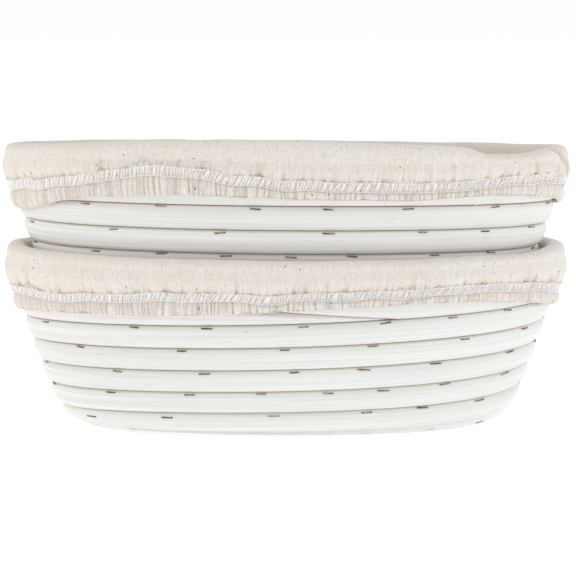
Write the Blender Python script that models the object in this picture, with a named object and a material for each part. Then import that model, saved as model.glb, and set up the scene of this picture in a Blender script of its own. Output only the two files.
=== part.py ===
"""Nested pair of oval banneton proofing baskets.

Each basket is one spiral of rattan cane, spliced from several lengths and stapled turn to turn, with a cotton
liner pulled over its rim and held by an elastic hem. The upper basket stands in the lower one's liner.
Metres, +Z up, X along the ovals, origin under the middle of the lower base.
"""

import math

import bmesh
import bpy
import numpy as np
from mathutils import Matrix, Vector

MM = 0.001
GAP = 0.3 * MM

# Oval plan: half the length minus half the width is the same for every turn.
OVAL_STRETCH = 46.6 * MM
SIDES_PER_TURN = 24

# Wall, measured on the middle of the cane's thickness.
RIM_HEIGHT = 76.6 * MM
RIM_HALF_WIDTH = 72.2 * MM
FLARE = 23.6 * MM
FLARE_POWER = 1.42
KNEE_TOP = 11 * MM

# Plan of the base: a racetrack whose long sides bow out more on each turn. The wall's turns become ellipses.
BASE_BOW = 18 * MM
BASE_HALF_WIDTH = 50 * MM
OVAL_FROM, OVAL_TO = 4 * MM, 40 * MM

# Cane: taller along the wall than it is thick.
CANE_THICKNESS = 7.4 * MM
CANE_CHAMFER = 2.3 * MM
TURN_PITCH = 10.2 * MM
TURN_GAP = 0.42 * MM
BASE_LEVEL = CANE_THICKNESS / 2
CORE_HALF_LENGTH = 42 * MM
HAIRPIN_END = -0.25
RIM_TURN = 11
MIN_TIP = 1.6 * MM
SCARF_TURNS = 0.064
SPLICES = (2.7, 5.62, 9.25)

# Liner: cotton sheet with a turned-up hem around a flat elastic. The hem hangs lower at the basket's ends.
CLOTH = 0.7 * MM
BAG_FLOOR = 2 * BASE_LEVEL + GAP + CLOTH / 2
BAG_CORNER = 10 * MM
HEM_INNER_HALF_WIDTH = 76.4 * MM
HEM_BOTTOM = 58.3 * MM
HEM_CLOSED = 64.9 * MM
HEM_EDGE = 67.7 * MM
END_DROP = 9 * MM
ELASTIC_THICKNESS, ELASTIC_WIDTH = 1.0 * MM, 3.2 * MM
THREAD_THICKNESS, THREAD_WIDTH = 0.5 * MM, 3.2 * MM

# Staples: square wire, crown along the cane, legs down through one turn into the turn below.
STAPLE_WIRE = 0.8 * MM
STAPLE_CROWN = 4.6 * MM
STAPLE_LEG = 12.5 * MM
STAPLE_RISE = 0.15 * MM
LEG_LEAN = math.radians(15)
STAPLE_TURNS = (4.19, 4.72, 5.31, 5.87, 6.34, 6.92, 7.26, 7.69, 8.19)

# How the upper basket stands in the lower one.
NEST_RISE = 42.6 * MM
NEST_SHIFT = -0.55 * MM
NEST_TILT = math.radians(0.6)

MATERIALS = {
    "rattan": ((0.90, 0.885, 0.85, 1), 0.55, 0.0),
    "cotton": ((0.86, 0.81, 0.75, 1), 0.95, 0.0),
    "thread": ((0.95, 0.94, 0.93, 1), 0.9, 0.0),
    "elastic": ((0.93, 0.92, 0.90, 1), 0.8, 0.0),
    "staple_steel": ((0.36, 0.30, 0.22, 1), 0.45, 0.9),
}


def smoothstep(x):
    x = min(max(x, 0.0), 1.0)
    return x * x * (3 - 2 * x)


# Plan curves -------------------------------------------------------------------------------------------


def oval_share(z):
    """0 where a ring is a racetrack, as on the base, and 1 where it is an ellipse, as at the rim."""
    return smoothstep((z - OVAL_FROM) / (OVAL_TO - OVAL_FROM))


def ellipse_point(half_x, half_y, angle):
    """The point of an ellipse whose outward normal points along angle."""
    c, s = math.cos(angle), math.sin(angle)
    reach = math.hypot(half_x * c, half_y * s)
    return Vector((half_x**2 * c / reach, half_y**2 * s / reach))


def ring_point(half_width, z, angle):
    """The point of the ring of that half width where its outward normal points along angle."""
    bow = BASE_BOW * min(half_width / BASE_HALF_WIDTH, 1.0) ** 3
    racetrack = ellipse_point(OVAL_STRETCH + bow, bow, angle)
    racetrack += (half_width - bow) * Vector((math.cos(angle), math.sin(angle)))
    ellipse = ellipse_point(OVAL_STRETCH + half_width, half_width, angle)
    return racetrack.lerp(ellipse, oval_share(z))


def angle_at(turn):
    """Normal angle of the rim's ellipse at a turn count; whole turns are at the left end, quarters in front."""
    around = math.pi * (2 * turn + 1)
    half_width = RIM_HALF_WIDTH
    return math.atan2((OVAL_STRETCH + half_width) * math.sin(around), half_width * math.cos(around))


# Side profile ------------------------------------------------------------------------------------------


def wall_half_width(z):
    """Half width of the cane's centreline at a height on the wall."""
    return RIM_HALF_WIDTH - FLARE * max(1 - z / RIM_HEIGHT, 0) ** FLARE_POWER


def side_profile():
    """(distance along, half width, height) of the centreline from the middle of the base to the rim."""
    end = Vector((wall_half_width(KNEE_TOP), KNEE_TOP))
    slope = (wall_half_width(KNEE_TOP + 1 * MM) - end.x) / MM
    corner = end - (KNEE_TOP - BASE_LEVEL) * Vector((slope, 1))
    start = corner - Vector(((end - corner).length, 0))
    knee = [start.lerp(corner, t).lerp(corner.lerp(end, t), t) for t in np.linspace(0, 1, 12)]
    wall = [Vector((wall_half_width(z), z)) for z in np.linspace(KNEE_TOP, RIM_HEIGHT, 30)[1:]]
    points = np.array([Vector((0, BASE_LEVEL)), *knee, *wall])
    steps = np.linalg.norm(np.diff(points, axis=0), axis=1)
    return np.concatenate([[0], np.cumsum(steps)]), points[:, 0], points[:, 1]


ALONG, HALF_WIDTHS, HEIGHTS = side_profile()
RIM_ALONG = float(ALONG[-1])


def profile_at(along):
    return Vector((np.interp(along, ALONG, HALF_WIDTHS), np.interp(along, ALONG, HEIGHTS)))


def beside_profile(along, out):
    """The point a distance out of the basket from a place on the profile."""
    step = 1.5 * MM
    up = profile_at(min(along + step, RIM_ALONG)) - profile_at(along - step)
    return profile_at(along) + out * Vector((up.y, -up.x)).normalized()


# The cane spiral ---------------------------------------------------------------------------------------


def spiral_along(turn):
    """Distance up the profile at a turn count. Each turn climbs along the front and runs level behind."""
    whole = math.floor(turn)
    climbed = whole + min(2 * (turn - whole), 1.0)
    return RIM_ALONG + TURN_PITCH * (climbed - RIM_TURN - 0.5)


def slot_at(turn):
    """Lower and upper edge of a turn's room, from the coil's middle line; the rim cuts it off level."""
    return -TURN_PITCH / 2, min(TURN_PITCH / 2, RIM_ALONG - spiral_along(turn))


def corner_point(step, up, out):
    turn = step / SIDES_PER_TURN
    spot = beside_profile(spiral_along(turn) + up, out)
    plan = ring_point(spot.x, spot.y, angle_at(turn))
    return Vector((plan.x, plan.y, spot.y))


def basket_point(turn, up=0.0, out=0.0):
    """A point beside the coil's middle line, on the straight sides that every turn has in step."""
    step = math.floor(turn * SIDES_PER_TURN)
    start, end = corner_point(step, up, out), corner_point(step + 1, up, out)
    return start.lerp(end, turn * SIDES_PER_TURN - step)


def cane_section(low, high):
    """Eight corners of a cane as (up, out) in the room from low to high."""
    middle, half_height = (low + high) / 2, (high - low - TURN_GAP) / 2
    full = (TURN_PITCH - TURN_GAP) / 2
    half_thick = CANE_THICKNESS / 2 * min(1.0, half_height / full) ** 0.5
    cut = min(CANE_CHAMFER, 0.5 * half_height, 0.5 * half_thick)
    quarter = ((half_height - cut, half_thick), (half_height, half_thick - cut))
    corners = [*quarter, *((up, -out) for up, out in reversed(quarter))]
    corners += [(-up, -out) for up, out in corners]
    return [(middle + up, out) for up, out in corners]


def splice_line(splice, turn):
    """Where a splice's slanting cut is at that turn: from the room's top down to its bottom."""
    low, high = slot_at(turn)
    share = (turn - (splice - SCARF_TURNS)) / (2 * SCARF_TURNS)
    return high + (low - high) * min(max(share, 0.0), 1.0)


def cane_edges(turn, start, end):
    """Lower and upper edge of a cane whose ends are cut at the splices start and end, where it has them."""
    low, high = slot_at(turn)
    if start is not None and turn < start + SCARF_TURNS:
        low = splice_line(start, turn)
    if end is not None and turn > end - SCARF_TURNS:
        high = splice_line(end, turn)
    return low, high


def section_ring(turn, start, end):
    return [basket_point(turn, up, out) for up, out in cane_section(*cane_edges(turn, start, end))]


def cane_turns(start, end):
    """Turn counts of a cane's sections: the shared steps of every turn, and its own two ends."""
    first = HAIRPIN_END if start is None else start - SCARF_TURNS
    last = RIM_TURN + 0.5 if end is None else end + SCARF_TURNS
    grid = [k / SIDES_PER_TURN for k in range(-SIDES_PER_TURN, (RIM_TURN + 1) * SIDES_PER_TURN)]
    ends = [first, *([] if start is None else [start + SCARF_TURNS])]
    ends += [] if end is None else [end - SCARF_TURNS]
    apart = 0.2 / SIDES_PER_TURN
    inner = [t for t in grid if first < t < last and all(abs(t - e) > apart for e in ends)]
    turns = sorted({*inner, *ends, last})
    fine = [t for t in np.linspace(first, last, 4000).tolist() if is_thick(t, start, end)]
    kept = [t for t in turns if fine[0] < t < fine[-1]]
    return [fine[0], *[t for t in kept if t - fine[0] > apart and fine[-1] - t > apart], fine[-1]]


def is_thick(turn, start, end):
    low, high = cane_edges(turn, start, end)
    return high - low - TURN_GAP > MIN_TIP


# Mesh helpers ------------------------------------------------------------------------------------------


def material(name):
    found = bpy.data.materials.get(name)
    if found:
        return found
    colour, roughness, metallic = MATERIALS[name]
    made = bpy.data.materials.new(name)
    made.use_nodes = True
    shader = made.node_tree.nodes["Principled BSDF"]
    shader.inputs["Base Color"].default_value = colour
    shader.inputs["Roughness"].default_value = roughness
    shader.inputs["Metallic"].default_value = metallic
    return made


def add_object(name, mesh, material_name, parent):
    made = bpy.data.objects.new(name, mesh)
    mesh.materials.append(material(material_name))
    mesh.shade_smooth()
    mesh.set_sharp_from_angle(angle=math.radians(40))
    made.parent = parent
    bpy.context.scene.collection.objects.link(made)
    return made


def mesh_from_rings(name, rings, closed):
    """Bridges rings of points in a row; a chain that isn't closed gets a cap at each end."""
    bm = bmesh.new()
    loops = [[bm.verts.new(p) for p in ring] for ring in rings]
    pairs = list(zip(loops, loops[1:]))
    if closed:
        pairs.append((loops[-1], loops[0]))
    for one, two in pairs:
        for i in range(len(one)):
            j = (i + 1) % len(one)
            bm.faces.new((one[i], one[j], two[j], two[i]))
    if not closed:
        bm.faces.new(loops[0])
        bm.faces.new(loops[-1])
    bmesh.ops.recalc_face_normals(bm, faces=bm.faces)
    mesh = bpy.data.meshes.new(name)
    bm.to_mesh(mesh)
    bm.free()
    return mesh


def hoop(section):
    """Rings that carry (half width, height, drop at the ends) points round the oval."""
    rings = []
    for step in range(SIDES_PER_TURN):
        turn = step / SIDES_PER_TURN
        endness = math.cos(2 * math.pi * turn) ** 2
        plans = [ring_point(half_width, z, angle_at(turn)) for half_width, z, _ in section]
        rings.append([Vector((p.x, p.y, z - drop * endness)) for p, (_, z, drop) in zip(plans, section)])
    return rings


# Canes -------------------------------------------------------------------------------------------------


def cane(name, start, end, parent):
    rings = hairpin_rings() if start is None else []
    rings += [section_ring(turn, start, end) for turn in cane_turns(start, end)]
    return add_object(name, mesh_from_rings(name, rings, closed=False), "rattan", parent)


def hairpin_rings():
    """The coil's start: straight along the middle of the base, then round a tight bend at the right end."""
    back, front = spiral_along(HAIRPIN_END), spiral_along(0.2) - TURN_PITCH / 2
    core_width = back - TURN_PITCH / 2 + front
    core = core_width / 2 - front
    bend_y, bend_radius = (back + core) / 2, (back - core) / 2
    spots = [(x, -90) for x in np.linspace(-CORE_HALF_LENGTH, CORE_HALF_LENGTH, 5)]
    spots += [(CORE_HALF_LENGTH, degrees) for degrees in range(-60, 91, 30)]
    rings = []
    for x, degrees in spots:
        away = Vector((math.cos(math.radians(degrees)), math.sin(math.radians(degrees)), 0))
        centre = Vector((x, bend_y, BASE_LEVEL)) + bend_radius * away
        section = cane_section(-core_width / 2, core_width / 2)
        rings.append([centre + up * away - Vector((0, 0, out)) for up, out in section])
    return rings


# Staples -----------------------------------------------------------------------------------------------


def staple_frame(turn):
    """Matrix whose X runs along the crown and -Z down the legs, on the outer top shoulder of the cane."""
    here = basket_point(turn)
    along = (basket_point(turn + 0.004) - basket_point(turn - 0.004)).normalized()
    up_wall = (basket_point(turn, 1 * MM) - here).normalized()
    outward = along.cross(up_wall).normalized()
    back = math.cos(LEG_LEAN) * up_wall + math.sin(LEG_LEAN) * outward
    back = (back - back.dot(along) * along).normalized()
    top = slot_at(turn)[1] - TURN_GAP / 2
    place = basket_point(turn, top - CANE_CHAMFER / 2, (CANE_THICKNESS - CANE_CHAMFER) / 2)
    axes = Matrix((along, back.cross(along), back)).transposed()
    return Matrix.Translation(place + STAPLE_RISE * back) @ axes.to_4x4()


def staple_outline(grow):
    """The U of a staple in its own X and Z, thickened all round by grow."""
    outer = STAPLE_CROWN / 2 + grow
    inner = STAPLE_CROWN / 2 - STAPLE_WIRE - grow
    top = STAPLE_WIRE / 2 + grow
    under = -STAPLE_WIRE / 2 - grow
    foot = -STAPLE_LEG - grow
    right = [(inner, under), (inner, foot), (outer, foot), (outer, top)]
    return right + [(-x, z) for x, z in reversed(right)]


def staple_rings(turn, grow=0.0):
    frame = staple_frame(turn)
    half = STAPLE_WIRE / 2 + grow
    return [[frame @ Vector((x, y, z)) for x, z in staple_outline(grow)] for y in (-half, half)]


def staple(name, turn, parent):
    mesh = mesh_from_rings(name, staple_rings(turn), closed=False)
    return add_object(name, mesh, "staple_steel", parent)


def leg_holes(name, parent):
    """One hidden cutter that clears every staple by the gap."""
    bm = bmesh.new()
    for turn in STAPLE_TURNS:
        part = mesh_from_rings("hole", staple_rings(turn, GAP), closed=False)
        bm.from_mesh(part)
        bpy.data.meshes.remove(part)
    mesh = bpy.data.meshes.new(name)
    bm.to_mesh(mesh)
    bm.free()
    cutter = bpy.data.objects.new(name, mesh)
    cutter.parent = parent
    cutter.hide_render = True
    cutter.display_type = "WIRE"
    bpy.context.scene.collection.objects.link(cutter)
    return cutter


def drill(piece, cutter):
    cut = piece.modifiers.new("staple_holes", "BOOLEAN")
    cut.operation = "DIFFERENCE"
    cut.object = cutter


# Liner -------------------------------------------------------------------------------------------------


def bag_half_width(z):
    """Half width of the bag's middle surface: close to the canes at the rim, a little clear of them below."""
    clear = GAP + 1.3 * MM * (1 - z / RIM_HEIGHT)
    return wall_half_width(z) - CANE_THICKNESS / 2 - clear - CLOTH / 2


def cloth_path():
    """Middle surface of the cloth as (half width, height, drop), from the bag's floor to the turned-up hem."""
    corner_top = BAG_FLOOR + BAG_CORNER
    top = RIM_HEIGHT + GAP + CLOTH / 2
    inner = HEM_INNER_HALF_WIDTH + CLOTH / 2
    outer = inner + CLOTH + ELASTIC_THICKNESS + 2 * GAP
    wall = [(bag_half_width(z), z) for z in np.linspace(corner_top, RIM_HEIGHT - 2.5 * MM, 4)]
    floor_end = bag_half_width(corner_top) - BAG_CORNER
    bag = [
        (20 * MM, BAG_FLOOR),
        (floor_end, BAG_FLOOR),
        (floor_end + 0.75 * BAG_CORNER, BAG_FLOOR + 0.3 * BAG_CORNER),
        *wall,
        (bag_half_width(RIM_HEIGHT) + 0.9 * MM, top + 0.6 * MM),
        (inner - 2 * MM, top + 0.6 * MM),
        (inner, top - 2 * MM),
    ]
    hem = [
        (inner, HEM_BOTTOM + 1.2 * MM),
        ((inner + outer) / 2, HEM_BOTTOM + CLOTH / 2),
        (outer, HEM_BOTTOM + 1.2 * MM),
        (outer, HEM_CLOSED - 1.2 * MM),
        (inner + CLOTH + GAP, HEM_CLOSED),
        (inner + CLOTH + GAP, HEM_EDGE),
    ]
    return [(*point, 0) for point in bag] + [(*point, END_DROP) for point in hem]


def sheet_section(path):
    """Two offset copies of a path, a cloth's thickness apart."""
    flat = [Vector(p[:2]) for p in path]
    last = len(path) - 1
    sides = ([], [])
    for i, (point, (_, _, drop)) in enumerate(zip(flat, path)):
        before = (flat[max(i, 1)] - flat[max(i, 1) - 1]).normalized()
        after = (flat[min(i, last - 1) + 1] - flat[min(i, last - 1)]).normalized()
        normal = Vector((-(before + after).y, (before + after).x)).normalized()
        reach = CLOTH / 2 / max(normal.dot(Vector((-before.y, before.x))), 0.5)
        sides[0].append((*(point + reach * normal), drop))
        sides[1].append((*(point - reach * normal), drop))
    return sides


def liner_cloth(name, parent):
    """The whole sheet: rows of points from the floor's underside out to the hem's edge and back along the top."""
    upper, lower = sheet_section(cloth_path())
    columns = hoop([*lower, *reversed(upper)])
    rows = list(zip(*columns))
    return add_object(name, mesh_from_rings(name, rows, closed=False), "cotton", parent)


def flat_hoop(name, inner, low, thickness, width, material_name, parent):
    corners = ((0, 0), (thickness, 0), (thickness, width), (0, width))
    section = [(inner + out, low + up, END_DROP) for out, up in corners]
    return add_object(name, mesh_from_rings(name, hoop(section), closed=True), material_name, parent)


def elastic_band(name, parent):
    inner = HEM_INNER_HALF_WIDTH + CLOTH + GAP
    low = HEM_BOTTOM + CLOTH + 1 * MM
    return flat_hoop(name, inner, low, ELASTIC_THICKNESS, ELASTIC_WIDTH, "elastic", parent)


def overlock_thread(name, parent):
    inner = HEM_INNER_HALF_WIDTH + 2 * (CLOTH + GAP)
    low = HEM_EDGE + 1 * MM - THREAD_WIDTH
    return flat_hoop(name, inner, low, THREAD_THICKNESS, THREAD_WIDTH, "thread", parent)


# The pair ----------------------------------------------------------------------------------------------


def basket(prefix, frame):
    """All the pieces of one basket and its liner, parented to frame."""
    holes = leg_holes(f"{prefix}_leg_holes", frame)
    names = ["base_coil", "wall_cane_1", "wall_cane_2", "wall_cane_3"]
    for name, start, end in zip(names, (None, *SPLICES), (*SPLICES, None)):
        drill(cane(f"{prefix}_{name}", start, end, frame), holes)
    for number, turn in enumerate(STAPLE_TURNS, 1):
        staple(f"{prefix}_staple_{number:02d}", turn, frame)
    liner_cloth(f"{prefix}_liner_cloth", frame)
    elastic_band(f"{prefix}_elastic_band", frame)
    overlock_thread(f"{prefix}_overlock_thread", frame)


def basket_frame(name, location, rotation):
    frame = bpy.data.objects.new(name, None)
    frame.location = location
    frame.rotation_euler = rotation
    bpy.context.scene.collection.objects.link(frame)
    return frame


def main():
    for old in list(bpy.data.objects):
        bpy.data.objects.remove(old)
    basket("lower", basket_frame("lower_frame", (0, 0, 0), (0, 0, 0)))
    upper_frame = basket_frame("upper_frame", (NEST_SHIFT, 0, NEST_RISE), (0, -NEST_TILT, math.pi))
    basket("upper", upper_frame)


main()
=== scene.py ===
"""Looks for the nested pair of oval banneton baskets.

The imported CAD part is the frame. Its canes, staples and cloth are coarse solids, so each is replaced here
by smooth or gathered ones. Each basket is built upright at the origin and then stood in its place.
"""

import math

import bpy
import numpy as np
from mathutils import Matrix, Vector


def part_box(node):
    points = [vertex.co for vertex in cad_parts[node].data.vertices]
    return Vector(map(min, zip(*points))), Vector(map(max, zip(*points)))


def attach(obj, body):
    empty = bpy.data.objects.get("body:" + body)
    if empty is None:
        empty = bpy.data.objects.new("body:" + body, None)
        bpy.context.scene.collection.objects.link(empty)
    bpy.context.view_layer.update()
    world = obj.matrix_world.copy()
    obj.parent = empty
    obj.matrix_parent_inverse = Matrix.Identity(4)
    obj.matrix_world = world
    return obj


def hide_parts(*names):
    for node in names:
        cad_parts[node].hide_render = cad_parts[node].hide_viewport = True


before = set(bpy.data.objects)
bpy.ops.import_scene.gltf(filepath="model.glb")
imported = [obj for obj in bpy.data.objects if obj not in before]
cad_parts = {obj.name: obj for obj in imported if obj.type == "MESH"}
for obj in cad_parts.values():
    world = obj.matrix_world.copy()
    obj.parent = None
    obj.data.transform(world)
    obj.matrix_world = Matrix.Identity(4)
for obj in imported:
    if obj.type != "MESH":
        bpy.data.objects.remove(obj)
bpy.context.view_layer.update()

MM = 0.001

# The CAD part's driving sizes, which the smooth shapes share.
OVAL_STRETCH = 46.6 * MM
RIM_HEIGHT, RIM_HALF_WIDTH = 76.6 * MM, 72.2 * MM
FLARE, FLARE_POWER = 23.6 * MM, 1.42
KNEE_TOP = 11 * MM
BASE_BOW, BASE_HALF_WIDTH = 18 * MM, 50 * MM
OVAL_FROM, OVAL_TO = 4 * MM, 40 * MM
CANE_THICKNESS, TURN_PITCH, RIM_TURN = 7.4 * MM, 10.2 * MM, 11
BASE_LEVEL = CANE_THICKNESS / 2
CORE_HALF_LENGTH = 42 * MM
SPLICES, SCARF_TURNS = (2.7, 5.62, 9.25), 0.064

# Smooth canes
CANE_STEPS, CANE_SIDES = 150, 26
CANE_POWER = 3.1
TURN_GAP = 0.1 * MM
TIP = 0.12 * MM
CLIMB_SOFTENING = 0.05
CANE_GIRTH = 30 * MM
UNEVEN_EDGE, SWAY = 0.16 * MM, 0.22 * MM
SWAY_FROM, SWAY_FULL_AFTER = 45 * MM, 20 * MM

# Staples
STAPLE_SPACING = 33 * MM
STAPLE_CROWN, STAPLE_WIRE = 4.2 * MM, 0.3 * MM
STAPLE_INSET = 0.55 * MM
STAPLED_TURNS = (0.4, 10.9)
BASE_STAPLE_DROP = 1.6 * MM

# Liners: heights of the hem's two edges at places round the oval, from the left end by the front.
CLOTH_COLUMNS, HEM_COLUMNS = 1800, 3600
HEM_TOPS = {
    "lower": ((0, 59), (0.05, 61.4), (0.11, 60.6), (0.15, 62.4), (0.205, 64.4), (0.24, 63.3), (0.28, 65),
              (0.31, 64.5), (0.35, 66), (0.40, 65), (0.46, 61), (0.5, 59), (0.6, 62), (0.75, 64.5),
              (0.9, 61.5)),
    "upper": ((0, 61), (0.055, 62.6), (0.105, 64.5), (0.14, 67.7), (0.18, 72), (0.205, 70.4), (0.235, 67),
              (0.27, 65.8), (0.33, 65.2), (0.39, 67.8), (0.44, 68), (0.5, 64), (0.6, 63), (0.75, 66),
              (0.9, 62)),
}
HEM_BOTTOMS = {
    "lower": ((0, 48), (0.08, 51.5), (0.13, 53), (0.18, 53.6), (0.25, 56.8), (0.31, 58.9), (0.35, 59.1),
              (0.405, 56.1), (0.445, 53.2), (0.5, 49.5), (0.6, 53), (0.75, 57.5), (0.9, 52.5)),
    "upper": ((0, 50), (0.07, 50.2), (0.125, 57.2), (0.195, 59.8), (0.25, 58.9), (0.32, 58), (0.365, 60.2),
              (0.44, 57.8), (0.5, 53), (0.6, 54), (0.75, 58), (0.9, 52)),
}
# How far the folded cloth stands up above the rim.
CRESTS = {
    "lower": ((0, 1.5), (0.08, 0.7), (0.2, 0), (0.3, -0.3), (0.42, -0.3), (0.47, 0.6), (0.5, 1.4),
              (0.75, 0.8), (0.95, 1)),
    "upper": ((0, 0.6), (0.06, 1), (0.11, 2), (0.15, 3.3), (0.21, 4.9), (0.25, 5), (0.29, 4.1), (0.345, 3),
              (0.357, 2.2), (0.366, -0.4), (0.385, -0.8), (0.405, -0.5), (0.43, 1.2), (0.46, 2.1), (0.5, 2.2),
              (0.56, 1.4), (0.75, 0.6), (0.93, 0.7)),
}
BAND_WIDTHS = {"lower": 3.1 * MM, "upper": 3.6 * MM}
STITCH = 1.2 * MM

# Thread radii, and one stitch: share of its pitch, height in the band (0 seam, 1 edge), millimetres out.
LOOP_THREAD, CHAIN_THREAD, EDGE_THREAD = 0.165 * MM, 0.16 * MM, 0.2 * MM
FIBRE, LOOSE_THREAD = 0.085 * MM, 0.14 * MM
STITCH_LOOP = ((0.0, -0.03, 0.12), (0.05, 0.45, 0.2), (0.1, 0.9, 0.24), (0.14, 1.06, 0.1),
               (0.26, 1.07, 0.0), (0.34, 0.92, 0.2), (0.33, 0.45, 0.18), (0.32, 0.0, 0.12))

# Where the hem's threads stand up in tufts or hang down.
TUFTS = (0.172, 0.08, 0.315, 0.44, 0.66, 0.87)
LOOSE_ENDS = (0.206, 0.36, 0.58, 0.81)

SEEDS = {"lower": 11, "upper": 47}


# Plan and profile --------------------------------------------------------------------------------------


def smoothstep(x):
    x = np.clip(x, 0.0, 1.0)
    return x * x * (3 - 2 * x)


def angle_at(turn):
    """Angle of the rim's normal at a turn count; whole turns are at the left end, quarters in front."""
    around = math.pi * (2 * np.asarray(turn) + 1)
    return np.arctan2((OVAL_STRETCH + RIM_HALF_WIDTH) * np.sin(around), RIM_HALF_WIDTH * np.cos(around))


def ellipse_point(half_x, half_y, angle):
    """The point of an ellipse whose outward normal points along angle."""
    c, s = np.cos(angle), np.sin(angle)
    reach = np.hypot(half_x * c, half_y * s)
    return np.stack([half_x**2 * c / reach, half_y**2 * s / reach], -1)


def ring_point(half_width, z, turn):
    """The point (x, y, z) of the ring of that half width at a turn count."""
    half_width, z, angle = np.broadcast_arrays(half_width, z, angle_at(turn))
    half_width = np.maximum(half_width, 0.3 * MM)
    bow = BASE_BOW * np.minimum(half_width / BASE_HALF_WIDTH, 1.0) ** 3
    racetrack = ellipse_point(OVAL_STRETCH + bow, bow, angle)
    racetrack = racetrack + (half_width - bow)[..., None] * np.stack([np.cos(angle), np.sin(angle)], -1)
    ellipse = ellipse_point(OVAL_STRETCH + half_width, half_width, angle)
    share = smoothstep((z - OVAL_FROM) / (OVAL_TO - OVAL_FROM))[..., None]
    return np.concatenate([racetrack + share * (ellipse - racetrack), z[..., None]], -1)


def wall_half_width(z):
    """Half width of the middle of the cane at a height on the wall."""
    return RIM_HALF_WIDTH - FLARE * np.maximum(1 - z / RIM_HEIGHT, 0) ** FLARE_POWER


def side_profile():
    """(distance along, points, outward normals) of the cane's middle, from the base's middle to the rim."""
    end = np.array([wall_half_width(KNEE_TOP), KNEE_TOP])
    slope = (wall_half_width(KNEE_TOP + MM) - end[0]) / MM
    corner = end - (KNEE_TOP - BASE_LEVEL) * np.array([slope, 1])
    start = corner - np.array([np.linalg.norm(end - corner), 0])
    t = np.linspace(0, 1, 40)[:, None]
    knee = (1 - t) ** 2 * start + 2 * t * (1 - t) * corner + t**2 * end
    heights = np.linspace(KNEE_TOP, RIM_HEIGHT + 2 * MM, 160)[1:]
    wall = np.stack([wall_half_width(heights), heights], -1)
    flat = np.linspace([0, BASE_LEVEL], start, 60)[:-1]
    points = np.concatenate([flat, knee, wall])
    steps = np.linalg.norm(np.diff(points, axis=0), axis=1)
    along = np.concatenate([[0], np.cumsum(steps)])
    up = np.gradient(points, along, axis=0)
    up /= np.linalg.norm(up, axis=1)[:, None]
    return along, points, np.stack([up[:, 1], -up[:, 0]], -1)


ALONG, PROFILE, OUTWARD = side_profile()
RIM_ALONG = float(np.interp(RIM_HEIGHT, PROFILE[60:, 1], ALONG[60:]))


def beside_profile(along, out):
    """(half width, height) of the point a distance out of the basket from a place on the profile."""
    point = [np.interp(along, ALONG, PROFILE[:, i]) for i in (0, 1)]
    normal = [np.interp(along, ALONG, OUTWARD[:, i]) for i in (0, 1)]
    return point[0] + out * normal[0], point[1] + out * normal[1]


def ripple(place, waves, seed, terms=6, spread=0.4):
    """Uneven waves, about as many to one unit of place as waves says, from -1 to 1; they close on a loop."""
    rng = np.random.default_rng(seed)
    counts = np.round(waves * (1 + spread * rng.uniform(-1, 1, terms)))
    phases = rng.uniform(0, 2 * math.pi, terms)
    total = sum(np.cos(2 * math.pi * n * place + p) for n, p in zip(counts, phases))
    return total / terms**0.5 / 1.4


def gathers(place, count, seed):
    """Rounded folds with sharp valleys between them, uneven in width and height, from 0 to 1."""
    phase = count * place + 1.1 * ripple(place, count / 12, seed) + 0.3 * ripple(place, count / 3, seed + 1)
    height = 0.62 + 0.38 * ripple(place, count / 4, seed + 2)
    return np.abs(np.sin(math.pi * phase)) ** 0.65 * np.clip(height, 0.15, 1.2)


# The coil ----------------------------------------------------------------------------------------------


def climb_table():
    """Share of a turn's climb against share of the turn: along the front only, eased at both ends."""
    places = np.linspace(0, 1, 401)
    slope = np.where(places < 0.5, 2.0, 0.0)
    reach = int(CLIMB_SOFTENING * 400)
    slope = np.mean([np.roll(slope, shift) for shift in range(-reach, reach + 1)], axis=0)
    climbed = np.concatenate([[0], np.cumsum((slope[1:] + slope[:-1]) / 2) / 400])
    return places, climbed / climbed[-1]


CLIMB = climb_table()


def spiral_along(turn):
    whole = np.floor(turn)
    climbed = whole + np.interp(turn - whole, *CLIMB)
    return RIM_ALONG + TURN_PITCH * (climbed - RIM_TURN - 0.5)


def slot_at(turn, seed):
    """Lower and upper edge of a turn's room from the coil's middle line. Neighbours share an uneven edge."""
    low = -TURN_PITCH / 2 + UNEVEN_EDGE * ripple(turn - 1, 3.3, seed)
    high = TURN_PITCH / 2 + UNEVEN_EDGE * ripple(turn, 3.3, seed)
    return low, np.minimum(high, RIM_ALONG - spiral_along(turn))


def cane_room(turn, start, end, seed):
    """A turn's room, cut slantwise at the splices start and end."""
    low, high = slot_at(turn, seed)
    first = low if start is None else slant_cut(low, high, turn, start)
    last = high if end is None else slant_cut(low, high, turn, end)
    return first, last


def slant_cut(low, high, turn, splice):
    """A line from the room's upper edge before a splice to its lower edge after it."""
    share = np.clip((turn - splice + SCARF_TURNS) / (2 * SCARF_TURNS), 0, 1)
    return high + (low - high) * share


def coil_point(turn, up, out):
    half_width, z = beside_profile(spiral_along(turn) + up, out)
    return ring_point(half_width, z, turn)


def cane_outline(low, high):
    """Rounded section as (up, out) arrays, a row for each place along the cane."""
    around = np.linspace(0, 2 * math.pi, CANE_SIDES, endpoint=False)
    round_off = [np.sign(f) * np.abs(f) ** (2 / CANE_POWER) for f in (np.sin(around), np.cos(around))]
    half_height = np.maximum(high - low - TURN_GAP, TIP) / 2
    thickness = CANE_THICKNESS / 2 * np.minimum(1, half_height / (TURN_PITCH / 2)) ** 0.4
    middle = (low + high) / 2
    return middle[:, None] + half_height[:, None] * round_off[0], thickness[:, None] * round_off[1]


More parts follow.
